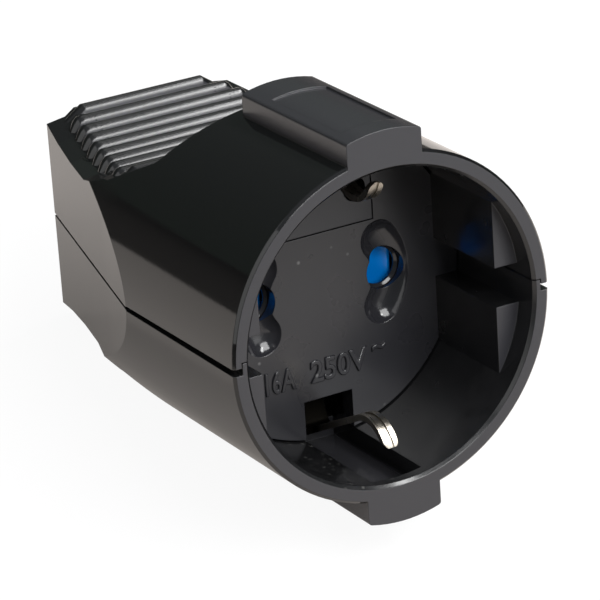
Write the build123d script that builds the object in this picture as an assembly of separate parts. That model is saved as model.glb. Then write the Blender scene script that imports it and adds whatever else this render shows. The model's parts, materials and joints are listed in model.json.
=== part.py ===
from build123d import *
import os
from math import asin, atan2, cos, degrees, hypot, radians, sin, sqrt

# A trailing two-pole earthed mains socket, as fitted to the end of a cord: two black shells that
# meet at a level seam, a round plug well with two earth fingers, and a sprung shutter behind the
# pin holes.
# Millimetres. While it is modelled, X is to the right as seen from the mouth, Y runs from the mouth
# plane into the body, Z is up across the seam, and the origin is the centre of the mouth. The
# finished pieces are tipped back about X, as the socket lies on a table: on the rear edge of its
# lower pad and the last rib of its grip.

# Barrel and plug well
BARREL_R = 22.4
BARREL_WALL = 2.2
WELL_DEPTH = 17.3
MOUTH_LEAD = 0.4
MOUTH_EASE = 0.35
SEAT_LEDGE = 1.2
SEAT_LENGTH = 2.0

# Grip: its sides taper to the rear, and a scoop for the fingers is cut in its top and bottom
LENGTH = 63.2
WALL = 2.0
TAPER_Y = 27.0
REAR_HALF_WIDTH = 13.65
SHOULDER_Y = 26.4
RAMP_Y = 30.0
RAMP_Z = 16.6
RAMP_END_Y = 37.5
RAMP_FILLET = 2.0
SCOOP_Y = 47.0
SCOOP_Z = 12.5
SCOOP_R = 90.0
BEVEL_DROP = 1.4
BEVEL_WIDTH = 2.75
BEVEL_SLOPE = 0.15
BED_SLOPE = 0.7
BED_REACH = 6.0
BEVEL_STEPS = 4

# Finger ribs across each scoop, which bend down at their ends
RIB_FIRST_LIMIT = 35.0
RIB_PITCH = 2.9
RIB_R = 1.15
RIB_HEIGHT = 0.85
RIB_REAR_GAP = 0.1
RIB_INSET = 5.3
RIB_END_RUN = 3.0

# Pads above and below the mouth, with a bare label recess in the upper one
PAD_HALF_WIDTH = 5.2
PAD_RISE = 2.25
PAD_CROWN = 0.75
PAD_END_WALL = 2.0
PAD_EASE = 0.45
LABEL_SIDE_RIM = 1.3
LABEL_FRONT_RIM = 3.4
LABEL_REAR_RIM = 5.2
LABEL_DEPTH = 0.25

# Seam between the shells, open at the mouth, and the lip that closes it from inside
SEAM_MOUTH = 0.9
SEAM_BEND = 0.65
SEAM_REAR = 0.35
LIP_THICKNESS = 0.95
LIP_HEIGHT = 1.0
LIP_ROOT = 1.5
LIP_CLEARANCE = 0.15
LIP_END_GAP = 0.5

# Guide blocks at the sides of the well, and the pockets that the earth fingers spring into
GUIDE_DEPTH = 3.5
GUIDE_SLOT = 5.2
GUIDE_START = 3.3
POCKET_HALF_WIDTH = 3.6
POCKET_START = 1.75
POCKET_ROOF = 1.95

# Floor plate of the well, with pin holes between dished lead-ins
PLATE_THICKNESS = 2.5
PLATE_CLEARANCE = 0.2
PIN_PITCH = 19.0
PIN_R = 2.4
PIN_HOLE_R = 2.85
THROAT_R = 2.45
THROAT_LENGTH = 0.3
THROAT_LEAD = 0.25
DISH_R = 2.65
DISH_OFFSET = 4.3
DISH_INSET = 0.8
DISH_BULGE = 0.6
DISH_DEPTH = 1.3
NOTCH_HALF_WIDTH = 3.5
NOTCH_DEPTH = 5.6
TONGUE_HALF_WIDTH = 7.95
TONGUE_DISH_GAP = 0.4
TONGUE_CLEARANCE = 0.15
RELIEF_X = 5.6
RELIEF_RISE = 4.45
RELIEF_R = 1.6

# Earth bow: its arms run back through the floor plate's notches, and its strap steps round the shutter
STRIP_THICKNESS = 0.8
STRIP_HALF_WIDTH = 2.0
FINGER_HALF_WIDTH = 1.0
GROOVE_HALF_WIDTH = 0.3
GROOVE_DEPTH = 0.2
FINGER_UPPER_RUN = 12.8
FINGER_LOWER_RUN = 12.8
HUMP_UPPER_REACH = 6.6
HUMP_LOWER_REACH = 8.2
HUMP_R = 4.4
TIP_RUN = 1.95
TIP_DROP = 4.2
ARM_SINK = 0.3
ARM_RUN = 1.4
JOGGLE_DEPTH = 4.0
JOGGLE_OUTER_Z = 13.5
JOGGLE_INNER_Z = 9.6
BEND_R = 1.2
TAIL_Z = 8.6
TAIL_CLEARANCE = 0.15

# Shutter and its spring
SHUTTER_GAP = 0.3
SHUTTER_DEPTH = 4.4
SHUTTER_LEFT = 3.2
SHUTTER_RIGHT = 2.7
RAMP_LEFT = 1.7
RAMP_RIGHT = 2.3
SHELF_THICKNESS = 1.0
BLOCK_HALF_HEIGHT = 3.1
RUNNER_HEIGHT = 1.6
RUNNER_DEPTH = 2.4
RUNNER_CLEARANCE = 0.2
TRACK_HEIGHT = 1.5
TRACK_HALF_LENGTH = 15.0
SPRING_POST_X = 4.2
SPRING_POST_WIDTH = 1.6
SPRING_POST_HALF_HEIGHT = 1.6
SPRING_R = 1.3
SPRING_WIRE_R = 0.22
SPRING_TURNS = 5
SPRING_WIRE_SIDES = 5
SPRING_PEG_R = 0.75
SPRING_PEG_LENGTH = 1.2

# Contact base behind the shutter, and the posts that carry it
BASE_THICKNESS = 2.0
BASE_WALL_GAP = 2.0
BASE_HALF_HEIGHT = 14.0
BASE_PIN_R = 2.8
POST_ANGLE = 38.0
POST_R = 2.4
POST_GAP = 0.36
TOWER_WALL = 1.35
TOWER_SHARE = 0.6

# Contacts and terminals
SLEEVE_R = 3.1
SLEEVE_BORE_R = 2.35
SLEEVE_CLEARANCE = 0.15
SLEEVE_SLIT = 0.8
SLEEVE_SOLID = 2.5
TERMINAL_HALF_WIDTH = 3.4
TERMINAL_GAP = 1.0
WIRE_HOLE_R = 1.5
WIRE_HOLE_END = 1.5
EARTH_BLOCK_HALF_WIDTH = 3.0
EARTH_BLOCK_LENGTH = 6.0
EARTH_BLOCK_GAP = 1.9

# Cord entry and clamp
ENTRY_R = 4.6
ENTRY_EASE = 0.6
CLAMP_X = 8.2
CLAMP_BOSS_R = 3.0
CLAMP_WIDTH = 5.6
CLAMP_HEIGHT = 6.2
CLAMP_ARCH_R = 4.2
CLAMP_REAR_GAP = 1.2

# Pillars for the housing screws
PILLAR_X = 11.0
PILLAR_R = 4.0
PILLAR_GAP = 0.4
HOUSING_HEAD_SINK = 3.0

# Screws
SCREW_R = 1.5
SCREW_HEAD_R = 2.7
SCREW_HEAD_HEIGHT = 1.9
SCREW_CLEARANCE = 0.1
HOUSING_SCREW_LENGTH = 16.0
CLAMP_SCREW_LENGTH = 12.0
SCREW_TIP_GAP = 1.0
TERMINAL_SCREW_R = 1.2
TERMINAL_HEAD_R = 2.1
TERMINAL_HEAD_HEIGHT = 1.5
TERMINAL_SCREW_LENGTH = 3.0
BASE_SCREW_LENGTH = 6.0
SLOT_WIDTH = 0.7
SLOT_DEPTH = 0.7

# How far cutting tools run past what they cut
OVERRUN = 1.0

# Radii and heights that follow from the sizes above
WELL_R = BARREL_R - BARREL_WALL
SEAT_R = WELL_R - SEAT_LEDGE
GUIDE_X = WELL_R - GUIDE_DEPTH
NOTCH_Z = WELL_R - NOTCH_DEPTH
ARM_Z = WELL_R + ARM_SINK
BASE_R = BARREL_R - WALL - BASE_WALL_GAP
PAD_Z = BARREL_R + PAD_RISE
POCKET_Z = PAD_Z - POCKET_ROOF
POST_X = (SEAT_R - POST_R - POST_GAP) * cos(radians(POST_ANGLE))
POST_Z = (SEAT_R - POST_R - POST_GAP) * sin(radians(POST_ANGLE))
PIN_X = PIN_PITCH / 2
TONGUE_Z = DISH_OFFSET + DISH_R + TONGUE_DISH_GAP
RELIEF_Z = TONGUE_Z + RELIEF_RISE
TOWER_HALF_WIDTH = SLEEVE_R + SLEEVE_CLEARANCE + TOWER_WALL
RUNNER_TOP = BLOCK_HALF_HEIGHT + RUNNER_HEIGHT
SHUTTER_TRAVEL = SHUTTER_LEFT + PIN_R + RUNNER_CLEARANCE

# Depths that follow from the sizes above
PLATE_BACK = WELL_DEPTH + PLATE_THICKNESS
HUMP_UPPER_Y = WELL_DEPTH - FINGER_UPPER_RUN
HUMP_LOWER_Y = WELL_DEPTH - FINGER_LOWER_RUN
SEAT_BACK = PLATE_BACK + SEAT_LENGTH
POCKET_END = SEAT_BACK + OVERRUN
PAD_LENGTH = POCKET_END + PAD_END_WALL
SHUTTER_FRONT = PLATE_BACK + STRIP_THICKNESS + SHUTTER_GAP
SHUTTER_BACK = SHUTTER_FRONT + SHUTTER_DEPTH
BASE_FRONT = SHUTTER_BACK + SHUTTER_GAP
BASE_BACK = BASE_FRONT + BASE_THICKNESS
RIB_LAST_Y = LENGTH - RIB_R - RIB_REAR_GAP
RIB_COUNT = int((RIB_LAST_Y - RIB_FIRST_LIMIT) / RIB_PITCH) + 1
CLAMP_Y = LENGTH - WALL - CLAMP_REAR_GAP - CLAMP_WIDTH / 2
PILLAR_Y = CLAMP_Y - CLAMP_WIDTH / 2 - PILLAR_GAP - PILLAR_R
TERMINAL_BACK = PILLAR_Y - PILLAR_R - TERMINAL_GAP
TOWER_BACK = BASE_BACK + TOWER_SHARE * (TERMINAL_BACK - BASE_BACK)
TERMINAL_SCREW_Y = (TOWER_BACK + TERMINAL_BACK) / 2
EARTH_BLOCK_FRONT = BASE_BACK + EARTH_BLOCK_GAP
EARTH_BLOCK_BACK = EARTH_BLOCK_FRONT + EARTH_BLOCK_LENGTH
EARTH_SCREW_Y = (EARTH_BLOCK_FRONT + EARTH_BLOCK_BACK) / 2
SPRING_Y = (SHUTTER_FRONT + SHUTTER_BACK) / 2
LIP_END = TAPER_Y - LIP_END_GAP

# Slope of the grip's tapered sides
TAPER = (BARREL_R - REAR_HALF_WIDTH) / (LENGTH - TAPER_Y)


def block(x, y, z):
    """A box between pairs of X, Y and Z values."""
    size = [high - low for low, high in (x, y, z)]
    middle = [(high + low) / 2 for low, high in (x, y, z)]
    return Pos(*middle) * Box(*size)


def along_x(sketch, left, right):
    """A sketch of Y and Z carried along X."""
    return Pos(left, 0, 0) * extrude(Plane.YZ * sketch, amount=right - left, dir=(1, 0, 0))


def along_y(sketch, front, back):
    """A sketch of X and Z carried along Y."""
    return Pos(0, front, 0) * extrude(Plane.XZ * sketch, amount=back - front, dir=(0, 1, 0))


def along_z(sketch, low, high):
    """A sketch of X and Y carried along Z."""
    return Pos(0, 0, low) * extrude(sketch, amount=high - low, dir=(0, 0, 1))


def polygon(*points):
    return make_face(Polyline(*points, close=True))


def scoop_z(y):
    """Height of the scoop's floor over the seam: a straight ramp, then a shallow arc."""
    lowest = SCOOP_Z + SCOOP_R
    arc_y = max(y, RAMP_END_Y)
    arc = lowest - sqrt(SCOOP_R**2 - (arc_y - SCOOP_Y) ** 2)
    if y >= RAMP_END_Y:
        return arc
    return RAMP_Z + (arc - RAMP_Z) * (y - RAMP_Y) / (RAMP_END_Y - RAMP_Y)


def taper_x(y):
    """Half width of the grip between its tapered sides."""
    return REAR_HALF_WIDTH + TAPER * (LENGTH - y)


def side_outline():
    """The upper half seen from the side, with the scoop."""
    top = BARREL_R + OVERRUN
    shoulder = (RAMP_Y - SHOULDER_Y) / (BARREL_R - RAMP_Z)
    ramp_end = (RAMP_END_Y, scoop_z(RAMP_END_Y))
    middle_y = (RAMP_END_Y + LENGTH) / 2
    rear = (LENGTH, scoop_z(LENGTH))
    outline = Curve() + Polyline(
        (LENGTH, -BARREL_R),
        (-OVERRUN, -BARREL_R),
        (-OVERRUN, top),
        (SHOULDER_Y - OVERRUN * shoulder, top),
        (RAMP_Y, RAMP_Z),
        ramp_end,
    )
    outline += ThreePointArc(ramp_end, (middle_y, scoop_z(middle_y)), rear)
    outline += Line(rear, (LENGTH, -BARREL_R))
    face = make_face(outline)
    foot = face.vertices().sort_by_distance((RAMP_Y, RAMP_Z, 0))[0]
    return fillet(foot, RAMP_FILLET)


def plan_outline():
    """The body seen from above, with the tapered sides."""
    wide = BARREL_R + OVERRUN
    bend = TAPER_Y - OVERRUN / TAPER
    return polygon(
        (wide, -OVERRUN),
        (wide, bend),
        (REAR_HALF_WIDTH, LENGTH),
        (-REAR_HALF_WIDTH, LENGTH),
        (-wide, bend),
        (-wide, -OVERRUN),
    )


def bevel_tool(side, inset):
    """Tool that follows the scoop behind its ramp and bevels the bed beside a tapered side."""
    wall_drop = inset * sqrt(1 + BEVEL_SLOPE**2 * (1 + TAPER**2))
    step = (LENGTH + OVERRUN - RAMP_END_Y) / BEVEL_STEPS
    sections = []
    for y in [RAMP_Y] + [RAMP_END_Y + step * index for index in range(BEVEL_STEPS + 1)]:
        x = taper_x(y)
        drop = BEVEL_DROP if y > RAMP_END_Y else 0
        z = scoop_z(y) - drop - wall_drop
        foot = z + BEVEL_WIDTH * BEVEL_SLOPE
        top = foot + BED_REACH * BED_SLOPE
        corners = polygon(
            (side * (x + OVERRUN), z - OVERRUN * BEVEL_SLOPE),
            (side * (x + OVERRUN), top),
            (side * (x - BEVEL_WIDTH - BED_REACH), top),
            (side * (x - BEVEL_WIDTH), foot),
        )
        sections.append(Pos(0, y, 0) * (Plane.XZ * corners))
    return loft(sections, ruled=True)


def body_form(inset):
    """Barrel and grip of the upper half as a solid, smaller all round by inset."""
    form = along_y(Circle(BARREL_R - inset), 0, LENGTH - inset)
    side = side_outline()
    plan = plan_outline()
    if inset:
        side = offset(side, -inset, kind=Kind.INTERSECTION)
        plan = offset(plan, -inset, kind=Kind.INTERSECTION)
    else:
        rim = form.edges().filter_by(GeomType.CIRCLE).sort_by(Axis.Y)[0]
        form = chamfer(rim, MOUTH_EASE)
    form &= along_x(side, -BARREL_R, BARREL_R)
    form &= along_z(plan, -BARREL_R, BARREL_R)
    for hand in (1, -1):
        form -= bevel_tool(hand, inset)
    return form


def pad_section(drop):
    """Crowned cross-section of a pad, lowered by drop."""
    low = WELL_R
    edge = PAD_Z - drop
    outline = Curve() + Polyline(
        (-PAD_HALF_WIDTH, edge), (-PAD_HALF_WIDTH, low), (PAD_HALF_WIDTH, low), (PAD_HALF_WIDTH, edge)
    )
    outline += ThreePointArc((PAD_HALF_WIDTH, edge), (0, edge + PAD_CROWN), (-PAD_HALF_WIDTH, edge))
    face = make_face(outline)
    return fillet(face.vertices().sort_by(Axis.Y)[-2:], PAD_EASE)


def label_recess():
    """What comes out of the upper pad: a shallow panel that keeps the pad's crown."""
    half = PAD_HALF_WIDTH - LABEL_SIDE_RIM
    depth = (LABEL_FRONT_RIM, PAD_LENGTH - LABEL_REAR_RIM)
    window = block((-half, half), depth, (WELL_R, PAD_Z + PAD_CROWN + OVERRUN))
    return window - along_y(pad_section(LABEL_DEPTH), 0, PAD_LENGTH)


def rib(index):
    """A rounded finger rib that bends down into the bevel at both ends, trimmed to the barrel."""
    y = RIB_LAST_Y - index * RIB_PITCH
    axis_z = scoop_z(y) + RIB_HEIGHT - RIB_R
    inner = taper_x(y) - RIB_INSET
    outer = inner + RIB_END_RUN
    low = axis_z - RIB_END_RUN * BED_SLOPE
    path = Polyline((-outer, y, low), (-inner, y, axis_z), (inner, y, axis_z), (outer, y, low))
    bar = sweep(Plane(path @ 0, z_dir=path % 0) * Circle(RIB_R), path=path, transition=Transition.RIGHT)
    return bar & along_y(Circle(BARREL_R), y - RIB_R, y + RIB_R)


def well_tool():
    """The plug well with the lead-in at its mouth."""
    flare = WELL_R + MOUTH_LEAD + OVERRUN
    section = polygon(
        (0, -OVERRUN), (flare, -OVERRUN), (WELL_R, MOUTH_LEAD), (WELL_R, PLATE_BACK), (0, PLATE_BACK)
    )
    return revolve(section, Axis.Y)


def seam_tool():
    """Everything below the upper shell's edge: the seam narrows from the mouth to the rear."""
    section = polygon(
        (-OVERRUN, SEAM_MOUTH / 2),
        (TAPER_Y, SEAM_BEND / 2),
        (TAPER_Y, SEAM_REAR / 2),
        (LENGTH + OVERRUN, SEAM_REAR / 2),
        (LENGTH + OVERRUN, -BARREL_R - OVERRUN),
        (-OVERRUN, -BARREL_R - OVERRUN),
    )
    return along_x(section, -BARREL_R - OVERRUN, BARREL_R + OVERRUN)


def guide_block(side):
    """A block that fills the side of the well between a flat and the wall."""
    middle = (WELL_R + BARREL_R) / 2
    inner, outer = sorted((side * GUIDE_X, side * BARREL_R))
    form = block((inner, outer), (GUIDE_START, WELL_DEPTH), (GUIDE_SLOT / 2, WELL_R))
    return form & along_y(Circle(middle), GUIDE_START, WELL_DEPTH)


def half_shell():
    """What the two shells share, as the upper half."""
    shell = body_form(0) + along_y(pad_section(0), 0, PAD_LENGTH)
    shell += [rib(index) for index in range(RIB_COUNT)]
    shell -= well_tool()
    shell -= along_y(Circle(SEAT_R), WELL_DEPTH, SEAT_BACK + OVERRUN)
    shell -= body_form(WALL) & block((-BARREL_R, BARREL_R), (SEAT_BACK, LENGTH), (-BARREL_R, BARREL_R))
    for hand in (1, -1):
        shell += guide_block(hand)
    shell -= block(
        (-POCKET_HALF_WIDTH, POCKET_HALF_WIDTH),
        (POCKET_START, POCKET_END),
        (NOTCH_Z, POCKET_Z),
    )
    shell -= seam_tool()
    shell -= along_y(Circle(ENTRY_R), LENGTH - WALL - OVERRUN, LENGTH + OVERRUN)
    mouth = Pos(0, LENGTH - ENTRY_EASE / 2, 0) * Rot(-90, 0, 0)
    shell -= mouth * Cone(ENTRY_R, ENTRY_R + ENTRY_EASE, ENTRY_EASE)
    return shell


def pillar(side):
    """A screw pillar from the seam to the grip's roof."""
    top = scoop_z(PILLAR_Y) - WALL / 2
    return along_z(Pos(side * PILLAR_X, PILLAR_Y) * Circle(PILLAR_R), 0, top)


def lip_ring(inner, outer, low, high, back):
    """The sides of a ring round the well, between two heights."""
    ring = along_y(Circle(outer) - Circle(inner), 0, back)
    return ring & block((-BARREL_R, BARREL_R), (0, back), (low, high))


def upper_shell():
    shell = half_shell()
    shell -= label_recess()
    outer = WELL_R + LIP_THICKNESS + LIP_CLEARANCE
    shell -= lip_ring(SEAT_R, outer, -OVERRUN, LIP_HEIGHT + LIP_CLEARANCE, LIP_END + LIP_CLEARANCE)
    tongue = block((-TONGUE_HALF_WIDTH, TONGUE_HALF_WIDTH), (WELL_DEPTH, PLATE_BACK), (TONGUE_Z, BARREL_R))
    tongue &= along_y(Circle((WELL_R + BARREL_R) / 2), WELL_DEPTH, PLATE_BACK)
    tongue -= block((-NOTCH_HALF_WIDTH, NOTCH_HALF_WIDTH), (0, LENGTH), (NOTCH_Z, BARREL_R))
    for hand in (1, -1):
        tongue -= along_y(Pos(hand * RELIEF_X, RELIEF_Z) * Circle(RELIEF_R), 0, LENGTH)
        hole = Pos(hand * PILLAR_X, PILLAR_Y) * Circle(SCREW_R + SCREW_CLEARANCE)
        depth = HOUSING_SCREW_LENGTH + housing_seat() + SCREW_TIP_GAP
        shell += pillar(hand) - along_z(hole, 0, depth)
    return shell + tongue


def housing_seat():
    """Height where the heads of the housing screws sit, under the seam."""
    return HOUSING_HEAD_SINK - scoop_z(PILLAR_Y)


def lower_shell():
    shell = mirror(half_shell(), about=Plane.XY)
    lip = lip_ring(WELL_R, WELL_R + LIP_THICKNESS, -LIP_ROOT, LIP_HEIGHT, LIP_END)
    shell += lip - well_tool()
    floor = scoop_z(CLAMP_Y)
    for hand in (1, -1):
        shell += mirror(pillar(hand), about=Plane.XY)
        place = Pos(hand * PILLAR_X, PILLAR_Y)
        shell -= along_z(place * Circle(SCREW_R + SCREW_CLEARANCE), -BARREL_R, OVERRUN)
        shell -= along_z(place * Circle(SCREW_HEAD_R + 2 * SCREW_CLEARANCE), -BARREL_R, housing_seat())
        place = Pos(hand * CLAMP_X, CLAMP_Y)
        boss = along_z(place * Circle(CLAMP_BOSS_R), WALL / 2 - floor, 0)
        depth = CLAMP_SCREW_LENGTH - CLAMP_HEIGHT + SCREW_TIP_GAP
        shell += boss - along_z(place * Circle(SCREW_R + SCREW_CLEARANCE), -depth, 0)
    return shell


def lead_in(side):
    """Trough that guides a pin to its hole: it bends round the hole and ends in two round dishes."""
    ball = (DISH_R**2 + DISH_DEPTH**2) / (2 * DISH_DEPTH)
    sag = DISH_INSET + DISH_BULGE
    bend = (DISH_OFFSET**2 + sag**2) / (2 * sag)
    run = bend - sag
    wedge = polygon((0, 0), (2 * run, 2 * DISH_OFFSET), (2 * run, -2 * DISH_OFFSET))
    trough = Rot(90, 0, 0) * Torus(bend, ball) & along_y(wedge, -ball, ball)
    for z in (-DISH_OFFSET, DISH_OFFSET):
        trough += Pos(run, 0, z) * Sphere(ball)
    middle = side * (PIN_X + DISH_BULGE - bend)
    return Pos(middle, WELL_DEPTH + DISH_DEPTH - ball, 0) * Rot(0, 90 - 90 * side, 0) * trough


def pin_hole():
    """A hole through the floor plate that narrows near its back."""
    throat = PLATE_BACK - THROAT_LENGTH
    hole = along_y(Circle(PIN_HOLE_R), 0, throat - THROAT_LEAD)
    hole += along_y(Circle(THROAT_R), 0, LENGTH)
    funnel = Rot(-90, 0, 0) * Cone(PIN_HOLE_R, THROAT_R, THROAT_LEAD)
    return hole + Pos(0, throat - THROAT_LEAD / 2, 0) * funnel


def floor_plate():
    plate = along_y(Circle(WELL_R - PLATE_CLEARANCE), WELL_DEPTH, PLATE_BACK)
    gap = TONGUE_HALF_WIDTH + TONGUE_CLEARANCE
    plate -= block((-gap, gap), (0, LENGTH), (TONGUE_Z - TONGUE_CLEARANCE, BARREL_R))
    plate -= block((-NOTCH_HALF_WIDTH, NOTCH_HALF_WIDTH), (0, LENGTH), (-BARREL_R, -NOTCH_Z))
    for hand in (1, -1):
        plate -= lead_in(hand)
        plate -= Pos(hand * PIN_X, 0, 0) * pin_hole()
    track = RUNNER_TOP + RUNNER_CLEARANCE
    span = (-TRACK_HALF_LENGTH, TRACK_HALF_LENGTH)
    for low in (track, -track - TRACK_HEIGHT):
        plate += block(span, (PLATE_BACK, BASE_FRONT), (low, low + TRACK_HEIGHT))
    gap = STRIP_HALF_WIDTH + TAIL_CLEARANCE
    strap_back = PLATE_BACK + STRIP_THICKNESS + TAIL_CLEARANCE
    plate -= block((-gap, gap), (PLATE_BACK, strap_back), (-BARREL_R, BARREL_R))
    for hand in (1, -1):
        place = Pos(hand * POST_X, -hand * POST_Z)
        post = along_y(place * Circle(POST_R), PLATE_BACK, BASE_FRONT)
        plate += post - along_y(place * Circle(TERMINAL_SCREW_R + SCREW_CLEARANCE), PLATE_BACK, LENGTH)
    half = SPRING_POST_WIDTH / 2
    tall = SPRING_POST_HALF_HEIGHT
    plate += block(
        (SPRING_POST_X - half, SPRING_POST_X + half), (PLATE_BACK, SHUTTER_BACK), (-tall, tall)
    )
    face = SPRING_POST_X - half
    return plate + along_x(Pos(SPRING_Y, 0) * Circle(SPRING_PEG_R), face - SPRING_PEG_LENGTH, face)


def shutter_slider():
    """Two ramped blocks between a pair of runners: a pin on each ramp drives it to the right."""
    slider = Part()
    for x in (-PIN_X, PIN_X):
        shelf = SHUTTER_BACK - SHELF_THICKNESS
        section = polygon(
            (x + SHUTTER_RIGHT, SHUTTER_FRONT),
            (x + RAMP_RIGHT, SHUTTER_FRONT),
            (x - RAMP_LEFT, shelf),
            (x - SHUTTER_LEFT, shelf),
            (x - SHUTTER_LEFT, SHUTTER_BACK),
            (x + SHUTTER_RIGHT, SHUTTER_BACK),
        )
        slider += along_z(section, -RUNNER_TOP, RUNNER_TOP)
    left = -PIN_X - SHUTTER_LEFT
    right = PIN_X + SHUTTER_RIGHT
    for low in (BLOCK_HALF_HEIGHT, -RUNNER_TOP):
        high = low + RUNNER_HEIGHT
        slider += block((left, right), (SHUTTER_BACK - RUNNER_DEPTH, SHUTTER_BACK), (low, high))
    face = SHUTTER_RIGHT - PIN_X
    return slider + along_x(Pos(SPRING_Y, 0) * Circle(SPRING_PEG_R), face, face + SPRING_PEG_LENGTH)


def shutter_spring():
    """Coil spring between the left-hand block and the post."""
    start = SHUTTER_RIGHT - PIN_X + SPRING_WIRE_R
    end = SPRING_POST_X - SPRING_POST_WIDTH / 2 - SPRING_WIRE_R
    length = end - start
    coil = Helix(length / SPRING_TURNS, length, SPRING_R, (start, SPRING_Y, 0), (1, 0, 0))
    wire = RegularPolygon(SPRING_WIRE_R, SPRING_WIRE_SIDES)
    return sweep(Plane(coil @ 0, z_dir=coil % 0) * wire, path=coil)


def contact_base():
    base = along_y(Circle(BASE_R), BASE_FRONT, BASE_BACK)
    base &= block((-BASE_R, BASE_R), (BASE_FRONT, BASE_BACK), (-BASE_HALF_HEIGHT, BASE_HALF_HEIGHT))
    half = TOWER_HALF_WIDTH
    for x in (-PIN_X, PIN_X):
        base += block((x - half, x + half), (BASE_BACK, TOWER_BACK), (-half, half))
        base -= along_y(Pos(x, 0) * Circle(BASE_PIN_R), 0, LENGTH)
        base -= along_y(Pos(x, 0) * Circle(SLEEVE_R + SLEEVE_CLEARANCE), BASE_BACK, LENGTH)
    for hand in (1, -1):
        place = Pos(hand * POST_X, -hand * POST_Z)
        base -= along_y(place * Circle(TERMINAL_SCREW_R + SCREW_CLEARANCE), 0, LENGTH)
    wide = STRIP_HALF_WIDTH + TAIL_CLEARANCE
    low = TAIL_Z - TAIL_CLEARANCE
    high = TAIL_Z + STRIP_THICKNESS + TAIL_CLEARANCE
    return base - block((-wide, wide), (0, LENGTH), (low, high))


def contact(x):
    """Slit brass sleeve for a pin, with the terminal block that takes the wire."""
    half = TERMINAL_HALF_WIDTH
    piece = along_y(Circle(SLEEVE_R) - Circle(SLEEVE_BORE_R), BASE_BACK, TOWER_BACK)
    slit = SLEEVE_SLIT / 2
    piece -= block((-slit, slit), (BASE_BACK, TOWER_BACK - SLEEVE_SOLID), (-BARREL_R, BARREL_R))
    piece += block((-half, half), (TOWER_BACK, TERMINAL_BACK), (-half, half))
    piece -= along_y(Circle(WIRE_HOLE_R), TOWER_BACK + WIRE_HOLE_END, TERMINAL_BACK)
    hole = Pos(0, TERMINAL_SCREW_Y) * Circle(TERMINAL_SCREW_R + SCREW_CLEARANCE)
    return Pos(x, 0, 0) * (piece - along_z(hole, 0, half))


def earth_bow():
    """One sprung strip: grooved fingers above and below, the strap behind the floor plate and a tail."""
    strap_y = PLATE_BACK + STRIP_THICKNESS / 2
    arms = []
    for sign, y, reach in ((1, HUMP_UPPER_Y, HUMP_UPPER_REACH), (-1, HUMP_LOWER_Y, HUMP_LOWER_REACH)):
        hump = WELL_R - reach + STRIP_THICKNESS / 2
        arms.append(
            [
                (y - TIP_RUN, sign * (hump + TIP_DROP)),
                (y, sign * hump),
                (PLATE_BACK + ARM_RUN, sign * ARM_Z),
                (strap_y + JOGGLE_DEPTH, sign * JOGGLE_OUTER_Z),
                (strap_y, sign * JOGGLE_INNER_Z),
            ]
        )
    points = arms[0] + arms[1][::-1]
    radii = [HUMP_R] + [BEND_R] * (len(points) - 4) + [HUMP_R]
    path = FilletPolyline(*points, radius=radii)
    strip = trace(path, STRIP_THICKNESS)
    bow = along_x(trace(path, STRIP_THICKNESS - 2 * GROOVE_DEPTH), -GROOVE_HALF_WIDTH, GROOVE_HALF_WIDTH)
    bow += along_x(strip, -FINGER_HALF_WIDTH, -GROOVE_HALF_WIDTH)
    bow += along_x(strip, GROOVE_HALF_WIDTH, FINGER_HALF_WIDTH)
    for sign, y, tip in ((1, HUMP_UPPER_Y, points[0][1]), (-1, HUMP_LOWER_Y, -points[-1][1])):
        middle = sign * (tip - FINGER_HALF_WIDTH)
        wide = (-FINGER_HALF_WIDTH, FINGER_HALF_WIDTH)
        corners = block(wide, (0, y), sorted((middle, sign * BARREL_R)))
        bow -= corners - along_y(Pos(0, middle) * Circle(FINGER_HALF_WIDTH), 0, y)
    rear = block((-STRIP_HALF_WIDTH, STRIP_HALF_WIDTH), (PLATE_BACK, LENGTH), (-BARREL_R, BARREL_R))
    bow += along_x(strip, -STRIP_HALF_WIDTH, STRIP_HALF_WIDTH) & rear
    tail = block(
        (-STRIP_HALF_WIDTH, STRIP_HALF_WIDTH),
        (strap_y, EARTH_BLOCK_BACK),
        (TAIL_Z, TAIL_Z + STRIP_THICKNESS),
    )
    hole = Pos(0, EARTH_SCREW_Y) * Circle(TERMINAL_SCREW_R + SCREW_CLEARANCE)
    return bow + tail - along_z(hole, 0, BARREL_R)


def earth_terminal():
    """Brass block under the bow's tail."""
    half = EARTH_BLOCK_HALF_WIDTH
    piece = block((-half, half), (EARTH_BLOCK_FRONT, EARTH_BLOCK_BACK), (TAIL_Z - 2 * half, TAIL_Z))
    wire_end = EARTH_BLOCK_FRONT + WIRE_HOLE_END
    piece -= along_y(Pos(0, TAIL_Z - half) * Circle(WIRE_HOLE_R), wire_end, EARTH_BLOCK_BACK)
    hole = Pos(0, EARTH_SCREW_Y) * Circle(TERMINAL_SCREW_R + SCREW_CLEARANCE)
    return piece - along_z(hole, TAIL_Z - half, TAIL_Z)


def screw(radius, length, head_r, head_height):
    """Slotted screw that points down, with the underside of its head at the origin."""
    piece = Pos(0, 0, head_height / 2) * Cylinder(head_r, head_height)
    piece += Pos(0, 0, -length / 2) * Cylinder(radius, length)
    half = SLOT_WIDTH / 2
    return piece - block((-head_r, head_r), (-half, half), (head_height - SLOT_DEPTH, head_height))


def terminal_screw(length):
    return screw(TERMINAL_SCREW_R, length, TERMINAL_HEAD_R, TERMINAL_HEAD_HEIGHT)


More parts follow.
